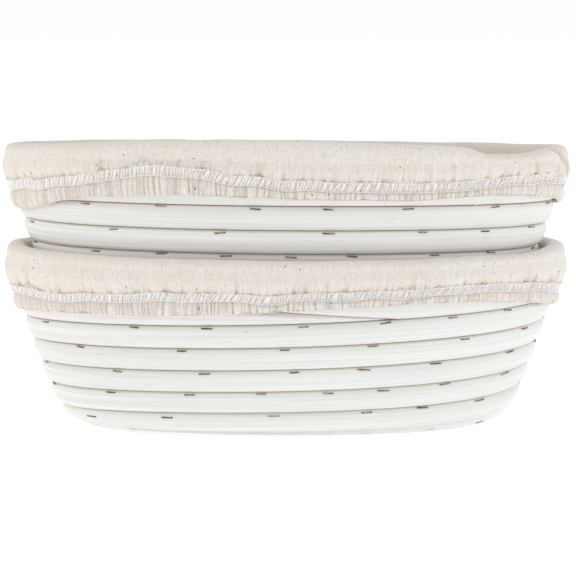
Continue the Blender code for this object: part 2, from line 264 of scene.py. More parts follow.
def cane_rings(start, end, seed):
    first = -0.25 if start is None else start - SCARF_TURNS
    last = RIM_TURN + 0.5 if end is None else end + SCARF_TURNS
    turn = np.linspace(first, last, int((last - first) * CANE_STEPS))
    low, high = cane_room(turn, start, end, seed)
    thick = high - low > TURN_GAP + TIP
    turn, low, high = turn[thick], low[thick], high[thick]
    up, out = cane_outline(low, high)
    above_base = smoothstep((spiral_along(turn) - SWAY_FROM) / SWAY_FULL_AFTER)
    sway = SWAY * ripple(turn, 2.7, seed + 5) * above_base
    return coil_point(turn[:, None], up, out + sway[:, None])


def hairpin_rings():
    """The coil's start: straight along the middle of the base, then round a tight bend at the right end."""
    back, front = spiral_along(-0.25), spiral_along(0.2) - TURN_PITCH / 2
    width = back - TURN_PITCH / 2 + front
    bend_y, bend_radius = (back + width / 2 - front) / 2, (back - width / 2 + front) / 2
    spots = [(x, -90) for x in np.linspace(-CORE_HALF_LENGTH, CORE_HALF_LENGTH, 12)]
    spots += [(CORE_HALF_LENGTH, degrees) for degrees in np.linspace(-80, 90, 18)]
    half = np.array([width / 2])
    up, out = (part[0] for part in cane_outline(-half, half))
    rings = []
    for x, degrees in spots:
        away = np.array([math.cos(math.radians(degrees)), math.sin(math.radians(degrees)), 0])
        centre = np.array([x, bend_y, BASE_LEVEL]) + bend_radius * away
        rings.append(centre + up[:, None] * away - out[:, None] * np.array([0, 0, 1]))
    return np.array(rings)


# Mesh helpers ------------------------------------------------------------------------------------------


def grid_part(points, uv, shade=0.0, closed=True, capped=False):
    """One patch of a mesh: its points, faces, UV of each face's corners, and shade of each point.

    Points is (rows, columns, 3). A closed patch joins its last column to its first, and its UVs have one
    column more than its points. A capped one has a face over its first row and one over its last.
    """
    rows, columns = points.shape[:2]
    index = np.arange(rows * columns).reshape(rows, columns)
    if closed:
        index = np.concatenate([index, index[:, :1]], 1)
    uv_index = np.arange(uv.shape[0] * uv.shape[1]).reshape(uv.shape[:2])
    faces, corners = grid_quads(index), grid_quads(uv_index)
    if capped:
        faces += [index[0, :columns][::-1].tolist(), index[-1, :columns].tolist()]
        corners += [uv_index[0, :columns][::-1].tolist(), uv_index[-1, :columns].tolist()]
    flat_uv = uv.reshape(-1, 2)[[corner for face in corners for corner in face]]
    return points.reshape(-1, 3), faces, flat_uv, np.broadcast_to(shade, (rows, columns)).ravel()


def grid_quads(index):
    quads = np.stack([index[:-1, :-1], index[:-1, 1:], index[1:, 1:], index[1:, :-1]], -1)
    return quads.reshape(-1, 4).tolist()


def mesh_object(name, parts):
    """One smooth object from patches, with UVs in metres as "fibre" and an attribute called "shade"."""
    starts = np.cumsum([0, *(len(part[0]) for part in parts)])
    faces = []
    for start, part in zip(starts.tolist(), parts):
        faces += [[start + corner for corner in face] for face in part[1]]
    mesh = bpy.data.meshes.new(name)
    mesh.from_pydata(np.concatenate([part[0] for part in parts]).tolist(), [], faces)
    layer = mesh.uv_layers.new(name="fibre")
    layer.data.foreach_set("uv", np.concatenate([part[2] for part in parts]).astype(np.float32).ravel())
    attribute = mesh.attributes.new("shade", "FLOAT", "POINT")
    attribute.data.foreach_set("value", np.concatenate([part[3] for part in parts]).astype(np.float32))
    mesh.shade_smooth()
    made = bpy.data.objects.new(name, mesh)
    bpy.context.scene.collection.objects.link(made)
    return made


def tube_part(rings, girth, shade=0.0):
    """A capped tube round rings of points, with UVs along and round it."""
    steps = np.linalg.norm(np.diff(rings.mean(1), axis=0), axis=1)
    along = np.concatenate([[0], np.cumsum(steps)])
    across = np.linspace(0, girth, rings.shape[1] + 1)
    uv = np.stack(np.broadcast_arrays(along[:, None], across), -1)
    return grid_part(rings, uv, shade, capped=True)


def tube_object(name, tubes):
    return mesh_object(name, [tube_part(rings, 2 * MM) for rings in tubes])


def tube_rings(path, radius, sides=6):
    """Rings of points round a path (points, 3); radius is one number or one for each point."""
    tangent = np.gradient(path, axis=0)
    tangent /= np.linalg.norm(tangent, axis=1)[:, None]
    up = np.tile([0.0, 0.0, 1.0], (len(path), 1))
    up[np.abs(tangent[:, 2]) > 0.9] = [0.0, 1.0, 0.0]
    side = np.cross(tangent, up)
    side /= np.linalg.norm(side, axis=1)[:, None]
    over = np.cross(side, tangent)
    around = np.linspace(0, 2 * math.pi, sides, endpoint=False)
    spread = np.cos(around)[:, None] * side[:, None] + np.sin(around)[:, None] * over[:, None]
    return path[:, None] + np.broadcast_to(radius, len(path))[:, None, None] * spread


# Materials ---------------------------------------------------------------------------------------------


class Nodes:
    """A short way to write a material's nodes."""

    def __init__(self, name):
        self.material = bpy.data.materials.new(name)
        self.material.use_nodes = True
        self.tree = self.material.node_tree
        self.shader = self.tree.nodes["Principled BSDF"]

    def add(self, kind, **settings):
        node = self.tree.nodes.new(kind)
        for key, value in settings.items():
            if key in node.inputs:
                node.inputs[key].default_value = value
            else:
                setattr(node, key, value)
        return node

    def link(self, source, target):
        self.tree.links.new(source, target)

    def stretched(self, along, across, offset=0.0):
        """UV coordinates scaled separately along and across the fibre."""
        coords = self.add("ShaderNodeUVMap", uv_map="fibre")
        mapping = self.add("ShaderNodeMapping")
        mapping.inputs["Scale"].default_value = (along, across, 1)
        mapping.inputs["Location"].default_value = (offset, offset * 1.7, offset)
        self.link(coords.outputs["UV"], mapping.inputs["Vector"])
        return mapping.outputs["Vector"]

    def noise(self, vector, detail=3.0, roughness=0.55):
        node = self.add("ShaderNodeTexNoise", Scale=1.0, Detail=detail, Roughness=roughness)
        self.link(vector, node.inputs["Vector"])
        return node.outputs["Fac"]

    def ramp(self, value, *stops):
        node = self.add("ShaderNodeValToRGB")
        self.link(value, node.inputs["Fac"])
        elements = node.color_ramp.elements
        while len(elements) < len(stops):
            elements.new(0.5)
        for element, (place, colour) in zip(elements, stops):
            element.position = place
            element.color = (*colour, 1)
        return node.outputs["Color"]

    def grey_ramp(self, value, *stops):
        return self.ramp(value, *((place, (level,) * 3) for place, level in stops))

    def mix(self, factor, one, two):
        node = self.add("ShaderNodeMix", data_type="RGBA", blend_type="MIX")
        for socket, source in ((node.inputs[0], factor), (node.inputs[6], one), (node.inputs[7], two)):
            if hasattr(source, "links"):
                self.link(source, socket)
            elif isinstance(source, tuple):
                socket.default_value = (*source, 1)
            else:
                socket.default_value = source
        return node.outputs[2]

    def math(self, operation, one, two=0.0):
        node = self.add("ShaderNodeMath", operation=operation)
        for socket, source in zip(node.inputs, (one, two)):
            if hasattr(source, "links"):
                self.link(source, socket)
            else:
                socket.default_value = source
        return node.outputs[0]

    def bump(self, height, distance, strength=1.0, under=None):
        node = self.add("ShaderNodeBump", Strength=strength, Distance=distance)
        self.link(height, node.inputs["Height"])
        if under is not None:
            self.link(under, node.inputs["Normal"])
        return node.outputs["Normal"]

    def finish(self, colour, roughness, normal=None):
        self.link(colour, self.shader.inputs["Base Color"])
        if hasattr(roughness, "links"):
            self.link(roughness, self.shader.inputs["Roughness"])
        else:
            self.shader.inputs["Roughness"].default_value = roughness
        if normal is not None:
            self.link(normal, self.shader.inputs["Normal"])
        return self.material


def rattan_material():
    """Bleached cane: near white and satin, with lengthwise grain, and painted shade at the grooves: creamy
    beside them and brown down in them.
    """
    n = Nodes("bleached_rattan")
    streaks = n.noise(n.stretched(9, 900), 4)
    broad = n.noise(n.stretched(5, 120, 3.1), 2)
    colour = n.ramp(streaks, (0.36, (0.755, 0.755, 0.74)), (0.5, (0.81, 0.81, 0.805)),
                    (0.64, (0.86, 0.86, 0.855)))
    colour = n.mix(n.grey_ramp(broad, (0.42, 0.0), (0.65, 0.5)), colour, (0.79, 0.775, 0.73))
    # Painted shade from the shade attribute: creamy beside each groove and brown down in it.
    shade = n.add("ShaderNodeAttribute", attribute_name="shade").outputs["Fac"]
    painted_cream_shade = n.grey_ramp(shade, (0.2, 0.0), (0.7, 0.6))
    colour = n.mix(painted_cream_shade, colour, (0.82, 0.77, 0.67))
    painted_groove_shade = n.grey_ramp(shade, (0.82, 0.0), (1.0, 0.85))
    colour = n.mix(painted_groove_shade, colour, (0.36, 0.28, 0.19))
    flecks = n.noise(n.stretched(160, 900, 7.7), 2)
    colour = n.mix(n.grey_ramp(flecks, (0.71, 0.0), (0.76, 0.55)), colour, (0.45, 0.36, 0.24))
    roughness = n.grey_ramp(streaks, (0.3, 0.52), (0.7, 0.38))
    normal = n.bump(streaks, 0.25 * MM, 0.6)
    normal = n.bump(broad, 0.6 * MM, 0.5, normal)
    return n.finish(colour, roughness, normal)


def cloth_colour(n):
    """Unbleached cotton: uneven yarns both ways, painted shade, warm or grey, down in the folds and creases,
    and a few seed specks.
    """
    warp = n.noise(n.stretched(1500, 260, 1.3), 3)
    weft = n.noise(n.stretched(320, 1700, 4.9), 3)
    mottle = n.noise(n.stretched(900, 900, 8.1), 3)
    yarns = n.math("ADD", n.math("MULTIPLY", warp, 0.4), n.math("MULTIPLY", weft, 0.3))
    yarns = n.math("ADD", yarns, n.math("MULTIPLY", mottle, 0.3))
    colour = n.ramp(yarns, (0.38, (0.72, 0.66, 0.595)), (0.5, (0.82, 0.775, 0.72)),
                    (0.62, (0.87, 0.84, 0.80)))
    patches = n.noise(n.stretched(40, 55, 9.3), 3)
    colour = n.mix(n.grey_ramp(patches, (0.4, 0.0), (0.7, 0.35)), colour, (0.80, 0.72, 0.63))
    shade = n.add("ShaderNodeAttribute", attribute_name="shade").outputs["Fac"]
    # Painted shade from the shade attribute: warm above 0, and deep brown past about 1 for the end fold's
    # painted shadow.
    painted_warm_shade = n.grey_ramp(n.math("MULTIPLY", shade, 0.75), (0.04, 0.0), (0.97, 1.0))
    colour = n.mix(painted_warm_shade, colour, (0.62, 0.49, 0.36))
    painted_fold_shadow = n.grey_ramp(n.math("MULTIPLY", shade, 0.5), (0.52, 0.0), (0.8, 0.85))
    colour = n.mix(painted_fold_shadow, colour, (0.30, 0.19, 0.11))
    # Painted shade: grey where the shade is below 0, down between the hem's gathers.
    depth = n.grey_ramp(n.math("MULTIPLY", shade, -1.0), (0.05, 0.0), (1.0, 0.7))
    colour = n.mix(depth, colour, (0.43, 0.39, 0.355))
    for scale, few, tint in ((150, 0.86, (0.25, 0.15, 0.08)), (380, 0.82, (0.48, 0.36, 0.25))):
        colour = n.mix(seed_specks(n, scale, few), colour, tint)
    return colour, yarns


def seed_specks(n, scale, few):
    """1 in small dots, one in a random few of the cells of a grid."""
    cells = n.add("ShaderNodeTexVoronoi", Scale=1.0, Randomness=1.0, voronoi_dimensions="2D")
    n.link(n.stretched(scale, scale, scale / 90), cells.inputs["Vector"])
    near = n.grey_ramp(cells.outputs["Distance"], (0.035, 1.0), (0.075, 0.0))
    chance = n.add("ShaderNodeSeparateColor")
    n.link(cells.outputs["Color"], chance.inputs[0])
    return n.math("MULTIPLY", near, n.grey_ramp(chance.outputs[0], (few, 0.0), (few + 0.02, 0.85)))


def cotton_material():
    n = Nodes("unbleached_cotton")
    colour, yarns = cloth_colour(n)
    threads = []
    for direction, offset in (("X", 0.0), ("Y", 0.5)):
        wave = n.add("ShaderNodeTexWave", Scale=1.0, Distortion=0.8, wave_type="BANDS",
                     bands_direction=direction)
        n.link(n.stretched(700, 700, offset), wave.inputs["Vector"])
        threads.append(wave.outputs["Fac"])
    normal = n.bump(n.math("MULTIPLY", *threads), 0.08 * MM, 0.5)
    normal = n.bump(yarns, 0.25 * MM, 0.6, normal)
    creases = n.noise(n.stretched(420, 60, 6.1), 2)
    normal = n.bump(creases, 0.45 * MM, 0.8, normal)
    n.shader.inputs["Sheen Weight"].default_value = 0.15
    return n.finish(colour, 0.92, normal)


def thread_material():
    n = Nodes("overlock_thread")
    coords = n.add("ShaderNodeTexCoord").outputs["Object"]
    fuzz = n.add("ShaderNodeTexNoise", Scale=1800.0, Detail=2.0)
    n.link(coords, fuzz.inputs["Vector"])
    colour = n.ramp(fuzz.outputs["Fac"], (0.35, (0.93, 0.915, 0.895)), (0.65, (0.995, 0.985, 0.97)))
    return n.finish(colour, 0.85, n.bump(fuzz.outputs["Fac"], 0.1 * MM, 0.6))


def staple_material():
    """Dull wire, brown with rust in places."""
    n = Nodes("staple_wire")
    coords = n.add("ShaderNodeTexCoord").outputs["Object"]
    patches = n.add("ShaderNodeTexNoise", Scale=260.0, Detail=4.0)
    n.link(coords, patches.inputs["Vector"])
    rust = n.ramp(patches.outputs["Fac"], (0.36, (0.13, 0.08, 0.04)), (0.5, (0.27, 0.21, 0.13)),
                  (0.64, (0.44, 0.38, 0.28)))
    roughness = n.grey_ramp(patches.outputs["Fac"], (0.4, 0.75), (0.65, 0.4))
    n.shader.inputs["Metallic"].default_value = 0.55
    return n.finish(rust, roughness, n.bump(patches.outputs["Fac"], 0.1 * MM, 0.7))


def elastic_material():
    n = Nodes("knitted_elastic")
    ribs = n.add("ShaderNodeTexWave", Scale=1.0, wave_type="BANDS", bands_direction="Y")
    n.link(n.stretched(400, 900), ribs.inputs["Vector"])
    colour = n.ramp(ribs.outputs["Fac"], (0.2, (0.72, 0.71, 0.69)), (0.8, (0.9, 0.89, 0.87)))
    return n.finish(colour, 0.8, n.bump(ribs.outputs["Fac"], 0.2 * MM, 0.8))


# Canes and staples -------------------------------------------------------------------------------------


def cane_object(name, rings):
    around = np.linspace(0, 2 * math.pi, CANE_SIDES, endpoint=False)
    edge = np.abs(np.sin(around)) ** (2 / CANE_POWER)
    front = np.abs(np.cos(around)) ** (2 / CANE_POWER)
    # Painted-shade mask for the material: 1 at the section's top and bottom edges, where it meets the next
    # turn in a groove, 0 on its faces.
    groove_shade_mask = smoothstep((edge - 0.8) / 0.2) * smoothstep(1.3 - front)
    return mesh_object(name, [tube_part(rings, CANE_GIRTH, groove_shade_mask)])


def staple_rings(turn, seed, rng):
    """A crown with its ends bent down into the cane, on the cane's outer top shoulder."""
    height = coil_point(np.array([turn]), 0.0, 0.0)[0, 2]
    inset = STAPLE_INSET + BASE_STAPLE_DROP * smoothstep((9 * MM - height) / (3 * MM))
    top = float(slot_at(np.array([turn]), seed)[1][0]) - inset + rng.uniform(-0.25, 0.15) * MM
    reach = STAPLE_CROWN / 2 * rng.uniform(0.85, 1.15)
    lean = rng.normal(0, 0.06)
    along = np.array([-1.0, -1.0, -0.95, -0.4, 0.4, 0.95, 1.0, 1.0]) * reach
    depth = np.array([2.0, 0.25, 0.0, -0.05, -0.05, 0.0, 0.25, 2.0]) * MM
    up = top + lean * along - 0.9 * np.maximum(depth - 0.1 * MM, 0)
    share = np.clip(np.abs(top) / (TURN_PITCH / 2), 0, 0.9)
    surface = CANE_THICKNESS / 2 * (1 - share**CANE_POWER) ** (1 / CANE_POWER)
    proud = (0.1 - 0.42 * smoothstep((4.3 * MM - height) / (0.4 * MM))) * MM
    path = coil_point(turn + along / turn_length(turn), up, surface + proud - depth)
    return tube_rings(path, STAPLE_WIRE, 8)


def turn_length(turn):
    """Length of coil for each unit of the turn count, at a turn count."""
    ends = coil_point(np.array([turn - 0.002, turn + 0.002]), 0.0, 0.0)
    return np.linalg.norm(ends[1] - ends[0]) / 0.004


def staple_tubes(seed):
    """Staples at uneven steps along the whole coil."""
    rng = np.random.default_rng(seed + 100)
    turn, last = STAPLED_TURNS
    tubes = []
    while turn < last:
        tubes.append(staple_rings(turn, seed, rng))
        turn += STAPLE_SPACING * rng.uniform(0.75, 1.3) / turn_length(turn)
    return tubes


# Liner -------------------------------------------------------------------------------------------------


def even_turns(count):
    """Turn counts of points spaced evenly round the rim, and each one's share of the way round."""
    dense = np.linspace(0, 1, 4001)
    ring = ring_point(RIM_HALF_WIDTH, RIM_HEIGHT, dense)
    along = np.concatenate([[0], np.cumsum(np.linalg.norm(np.diff(ring, axis=0), axis=1))])
    shares = np.arange(count) / count
    return np.interp(shares * along[-1], along, dense), shares


def round_the_oval(stops, turns, reach=20):
    """A smooth closed curve through heights in millimetres at turn counts, sampled at turns."""
    places, heights = zip(*stops)
    dense = np.arange(720) / 720
    values = np.interp(dense, [*places, 1 + places[0]], [*heights, heights[0]])
    window = np.hanning(2 * reach + 1)
    padded = np.concatenate([values[-reach:], values, values[:reach]])
    smooth = np.convolve(padded, window / window.sum(), "valid")
    return np.interp(turns, np.append(dense, 1), np.append(smooth, smooth[0])) * MM


def outside_canes(z):
    return wall_half_width(z) + CANE_THICKNESS / 2


class Hem:
    """Heights and stand-off of one liner's hem at a set of columns."""

    def __init__(self, which, count):
        seed = SEEDS[which]
        self.turns, self.shares = even_turns(count)
        self.top = round_the_oval(HEM_TOPS[which], self.turns)
        self.top = self.top + 0.35 * MM * ripple(self.shares, 26, seed + 1)
        self.bottom = round_the_oval(HEM_BOTTOMS[which], self.turns)
        self.bottom = self.bottom + 0.25 * MM * ripple(self.shares, 30, seed + 2)
        self.seam = self.top - BAND_WIDTHS[which] * (1 + 0.08 * ripple(self.shares, 20, seed + 3))
        self.neck = outside_canes(self.top) + 2.1 * MM + 0.15 * MM * ripple(self.shares, 14, seed + 4)
        self.crest = round_the_oval(CRESTS[which], self.turns, 6)
        self.crest = self.crest + 0.2 * MM * ripple(self.shares, 12, seed + 5)
        self.seed = seed
        self.seam_depth, self.edge_depth = self.band_depth(0), self.band_depth(1)

    def pleats(self, up):
        """Gathers of the casing, which lean and grow finer from its lower edge (0) to its seam (1)."""
        place = self.shares + 0.0013 * ripple(self.shares, 42, self.seed + 24) * up
        fine, broad = gathers(place, 540, self.seed + 21), gathers(place, 250, self.seed + 22)
        return (0.25 + 0.2 * up) * fine + (0.75 - 0.2 * up) * broad

    def band_depth(self, share):
        """How far the stitched band stands off the canes, from its seam (0) to its raw edge (1)."""
        return (1.8 + 0.35 * share) * MM + (0.5 - 0.25 * share) * MM * self.pleats(1)


RIM_CENTRE = RIM_HEIGHT - 2.9 * MM
FLOOR_ROWS, FLAP_ROWS = 14, 30


def bag_rows(hem):
    """Rows of (half widths, heights) from the bag's middle, over the rim, to the hem, and their shade."""
    swell = 0.45 * MM * ripple(hem.shares, 8, hem.seed + 9) + 0.2 * MM * ripple(hem.shares, 31, hem.seed + 10)
    rows = inside_rows(hem)
    # Painted shade: the inside wall warmer and darker towards the rim.
    shades = [0.3 * smoothstep(np.mean(row[1]) / (45 * MM) - 0.5) + 0 * hem.shares for row in rows]
    for more_rows, more_shades in (rim_rows(hem, swell), flap_rows(hem, swell)):
        rows += more_rows
        shades += more_shades
    return rows, np.array(shades)


def inside_rows(hem):
    """The bag's floor, its rounded corner and its wall up to the rim."""
    seed, shares = hem.seed, hem.shares
    loose = 0.5 * MM * (1 + ripple(shares, 9, seed + 6))
    floor_z = CANE_THICKNESS + 0.7 * MM
    corner = 11 * MM
    wall_foot = wall_half_width(floor_z + corner) - CANE_THICKNESS / 2 - 1.2 * MM
    rows = []
    for share in np.linspace(0, 1, FLOOR_ROWS):
        ruck = 0.35 * MM * ripple(shares, 7, seed + 7) * share
        rows.append((np.full_like(shares, 0.4 * MM + share * (wall_foot - corner)), floor_z + abs(ruck)))
    for turn in np.radians(np.linspace(15, 90, 6)):
        rows.append((wall_foot - corner + corner * math.sin(turn) - 0.3 * loose,
                     np.full_like(shares, floor_z + corner * (1 - math.cos(turn)))))
    for z in np.linspace(floor_z + corner + 2 * MM, RIM_CENTRE, 26)[:-1]:
        high = (z / RIM_CENTRE) ** 2
        folds = 0.35 * MM * ripple(shares + 0.004 * math.sin(z / MM / 9), 34, seed + 8)
        back = CANE_THICKNESS / 2 + 0.6 * MM + (1 - 0.6 * high) * loose
        rows.append((wall_half_width(z) - back + folds * (1 - 0.5 * high), np.full_like(shares, z)))
    return rows


def rim_rows(hem, swell):
    """The cloth's bend over the rim, from inside to outside."""
    rows, shades = [], []
    for turn in np.radians(np.linspace(180, 0, 17)):
        c, s = math.cos(turn), math.sin(turn)
        reach = 4.3 * MM if c < 0 else 4.7 * MM
        crown = (RIM_HEIGHT + 0.6 * MM - RIM_CENTRE) + hem.crest + 0.3 * swell
        lip, shadow = end_fold(hem, RIM_CENTRE + crown * s**0.8 - hem.top)
        half_width = RIM_HALF_WIDTH + reach * np.sign(c) * abs(c) ** 0.8
        rows.append((half_width + (swell + 1.3 * MM * lip) * max(c, 0), RIM_CENTRE + crown * s**0.8))
        # Painted shade on the inside half of the bend, and the end fold's painted shadow on the outside.
        shades.append(0.3 * smoothstep(0.4 - c) + 1.6 * shadow * max(c, 0))
    return rows, shades


def flap_rows(hem, swell):
    """The flap outside the rim, down to the hem's neck, with folds and creases pulled up from the hem."""
    seed, shares = hem.seed, hem.shares
    rows, shades = [], []
    shoulder = RIM_HALF_WIDTH + 4.7 * MM + swell
    fall = np.maximum(RIM_CENTRE - hem.top, 0.5 * MM)
    reach_up = 0.55 + 0.45 * ripple(shares, 45, seed + 14)
    folds = 0.55 * gathers(shares, 260, seed + 12) + 0.45 * gathers(shares, 110, seed + 13)
    for share in np.linspace(0, 1, FLAP_ROWS + 1)[1:]:
        z = RIM_CENTRE - share * (fall + 1.2 * MM)
        above = np.maximum(z - hem.top, 0)
        pulled = np.exp(-above / (4 * MM)) * reach_up + 0.25 * np.exp(-above / (9 * MM))
        bulge = (0.09 * fall + 0.4 * MM) * math.sin(math.pi * share) ** 1.6
        tuck = 1.1 * MM * smoothstep((share - 0.93) / 0.07)
        half_width = shoulder + (hem.neck - shoulder) * smoothstep(share) + bulge - tuck
        crease = creases(hem, above, seed + 15)
        lip, shadow = end_fold(hem, above)
        rows.append((half_width + (folds - 0.5) * 2.0 * MM * pulled - 1.1 * MM * crease + 1.3 * MM * lip, z))
        hollow = np.clip(1.1 - folds / 0.5, 0, 1)
        # Painted shade: warm just above the hem, in the hollows between folds and in the creases; past the
        # end fold, its painted shadow.
        tint = 0.5 * np.exp(-above / (1.2 * MM)) + 0.55 * np.exp(-above / (4 * MM)) * hollow + 0.6 * crease
        shades.append(np.clip(tint * (0.8 + 0.3 * ripple(shares, 40, seed + 30)) + 1.6 * shadow, 0, 1.7))
    return rows, shades


def creases(hem, above, seed):
    """Depth, 0 to 1, of the folds pulled up into the flap here and there by the gathered hem below it."""
    rng = np.random.default_rng(seed)
    total = np.zeros_like(hem.shares)
    for number in range(70):
        place = (number + rng.uniform(0, 1)) / 70 + rng.normal(0, 0.15) * above
        away = (hem.shares - place + 0.5) % 1 - 0.5
        width, length = rng.uniform(0.0011, 0.0026), rng.uniform(3, 10) * MM
        strength = rng.uniform(0.2, 1) ** 2
        total = total + strength * np.exp(-((away / width) ** 2)) * np.exp(-((above / length) ** 2))
    return np.minimum(total, 1.2)


def end_fold(hem, above):
    """Height of the lip of a fold near the right end of the upper liner's flap, and the painted shadow beyond
    it.
    """
    if hem.seed != SEEDS["upper"]:
        return 0 * hem.shares, 0 * hem.shares
    past = hem.turns - 0.455 + 0.030 * np.clip(above / (13 * MM), 0, 1.2) ** 2
    lip = smoothstep(0.5 - past / 0.005) * np.exp(np.minimum(past, 0) / 0.022)
    shadow = smoothstep(0.5 + past / 0.005) * np.exp(-np.maximum(past, 0) / 0.014)
    return lip, shadow


def hem_rows(hem):
    """Rows from behind the neck, down inside the casing, round its lower edge and up to the stitched edge.

    Each point's shade, from 0 down to -1, is painted shade, by how deep it lies between the gathers.
    """
    seed, shares = hem.seed, hem.shares
    tight = 0.5 + 0.5 * ripple(shares, 22, seed + 20)
    pleats = hem.pleats(0)
    inner = 0.45 * MM
    rows = [(hem.neck - 0.6 * MM, hem.top - 1.2 * MM)]
    tall = hem.seam - hem.bottom
    for share in (0.75, 0.5, 0.25, 0.1):
        z = hem.bottom + share * tall + 0.8 * MM
        rows.append((outside_canes(z) + inner, z))
    for turn in np.radians(np.linspace(200, 330, 7)):
        z = hem.bottom + 1.1 * MM * (1 + math.sin(turn)) + 0.25 * MM * pleats
        out = inner + (2.0 * MM) * (0.5 + 0.5 * math.cos(turn))
        rows.append((outside_canes(z) + out + 0.30 * MM * pleats * (1 + math.cos(turn)) / 2, z))
    shades = [-0.2 * np.ones_like(shares)] * len(rows)
    for share in np.linspace(0.12, 1, 11):
        z = hem.bottom + share * tall
        pleats = hem.pleats(share)
        puff = math.sin(math.pi * min(share * 0.92 + 0.12, 1.0)) ** 0.6
        depth = (1.2 + 0.4 * puff) * MM + 0.35 * MM * tight * puff
        rows.append((outside_canes(z) + depth + (1.6 * puff + 0.4) * MM * pleats, z))
        shades.append(-np.clip(1.05 - pleats / (0.42 + 0.1 * share), 0, 1) * (0.75 + 0.25 * tight))
    for share in np.linspace(0.12, 1, 8):
        z = hem.seam + share * (hem.top - hem.seam)
        ragged = 0.28 * MM * ripple(shares, 330, seed + 23) * share**3
        rows.append((outside_canes(z) + hem.band_depth(share), z + ragged))
        # Painted shade: the band's cloth darker between the stitches' threads.
        shades.append(-0.4 - 0.3 * np.clip(1 - pleats / 0.5, 0, 1))
    lip = hem.top + 0.1 * MM
    rows.append((outside_canes(lip) + 1.5 * MM, lip))
    return rows, np.array([*shades, shades[-1]])


def sheet_part(rows, hem, shade=0.0):
    """A patch of cloth from rows of (half widths, heights) round the oval."""
    half_widths = np.array([row[0] for row in rows])
    heights = np.array([np.broadcast_to(row[1], hem.shares.shape) for row in rows])
    points = ring_point(half_widths, heights, hem.turns)
    quarter = points[:, len(hem.turns) // 4]
    down = np.concatenate([[0], np.cumsum(np.linalg.norm(np.diff(quarter, axis=0), axis=1))])
    length = np.linalg.norm(np.diff(points[-1], axis=0), axis=1).sum()
    uv = np.stack(np.broadcast_arrays(np.append(hem.shares, 1) * length, down[:, None]), -1)
    return grid_part(points, uv, shade)


def floor_part(rows, hem):
    """The bag's flat floor, closed along its middle, with UVs that are its plan."""
    points = np.array([ring_point(half_widths, heights, hem.turns) for half_widths, heights in rows])
    points[0, :, 1] = 0
    uv = np.concatenate([points, points[:, :1]], 1)[..., :2]
    return grid_part(points, uv)


def liner_cloth(which):
    """The whole sheet: the bag and its flap over the rim, and the hem turned up outside it."""
    hem = Hem(which, CLOTH_COLUMNS)
    # The second value is the bag rows' painted shade.
    rows, warm = bag_rows(hem)
    fine = Hem(which, HEM_COLUMNS)
    folded, shades = hem_rows(fine)
    edge = FLOOR_ROWS - 1
    parts = [floor_part(rows[:FLOOR_ROWS], hem), sheet_part(rows[edge:], hem, warm[edge:]),
             sheet_part(folded, fine, shades)]
    return mesh_object(f"{which}_cotton_liner", parts)


def elastic_band(which):
    """A flat band lying inside the hem's casing."""
    hem = Hem(which, 400)
    low, high = hem.bottom + 1.5 * MM, hem.seam - 0.6 * MM
    inner, outer = 1.0 * MM, 1.6 * MM
    outline = ((low, inner), (low, outer), (high, outer), (high, inner), (low, inner))
    rows = [(outside_canes(z) + out, z) for z, out in outline]
    return mesh_object(f"{which}_hem_elastic", [sheet_part(rows, hem)])


def hem_point(hem, share, height, out):
    """Points on the hem's outside: share round the rim, height from the seam (0) to the top (1)."""
    wrapped = np.mod(share, 1)
    inside = np.clip(height, 0, 1)
    turns, seam, top, at_seam, at_edge = (
        np.interp(wrapped, np.append(hem.shares, 1), np.append(part, part[0] + step))
        for part, step in ((hem.turns, 1), (hem.seam, 0), (hem.top, 0), (hem.seam_depth, 0),
                           (hem.edge_depth, 0)))
    z = seam + height * (top - seam)
    depth = at_seam + inside * (at_edge - at_seam) + out
    return ring_point(outside_canes(z) + depth, z, turns)


def overlock_stitches(which, circumference):
    """Thread loops up across the band, over the raw edge and back down, with a chain along each side."""
    rng = np.random.default_rng(SEEDS[which] + 60)
    hem = Hem(which, HEM_COLUMNS)
    count = int(circumference / STITCH)
    pitch = 1 / count
    slant = 1.0 + 0.7 * ripple(np.arange(count) / count, 9, SEEDS[which] + 61)
    shares, heights, outs = [], [], []
    starts = np.arange(count) + 0.22 * rng.uniform(-1, 1, count)
    for i in range(count):
        shift = slant[i] + rng.normal(0, 0.3)
        lift = rng.uniform(-0.1, 0.12)
        for across, height, out in STITCH_LOOP:
            shares.append((starts[i] + across + shift * height) * pitch)
            heights.append(height + lift * max(height, 0) + rng.uniform(-0.02, 0.02))
            outs.append((out + rng.uniform(-0.05, 0.05)) * MM)
    path = hem_point(hem, np.array(shares), np.array(heights), np.array(outs))
    chain_share = np.linspace(0, 1, count * 3)
    wobble = 0.035 * np.sin(2 * math.pi * count * chain_share)
    chain = hem_point(hem, chain_share, wobble, 0.18 * MM)
    thickness = LOOP_THREAD * (1 + 0.3 * ripple(np.linspace(0, 1, len(path)), count / 3, SEEDS[which] + 62))
    loops = 1.0 + 0.05 * np.sin(2 * math.pi * count * chain_share)
    loops = loops + 0.05 * ripple(chain_share, 300, SEEDS[which])
    edge = hem_point(hem, chain_share, loops, 0.2 * MM)
    tubes = [tube_rings(path, thickness, 6), tube_rings(chain, CHAIN_THREAD, 5),
             tube_rings(edge, EDGE_THREAD, 5)]
    tubes += frayed_ends(hem, rng, count)
    return tube_object(f"{which}_overlock_stitches", tubes)


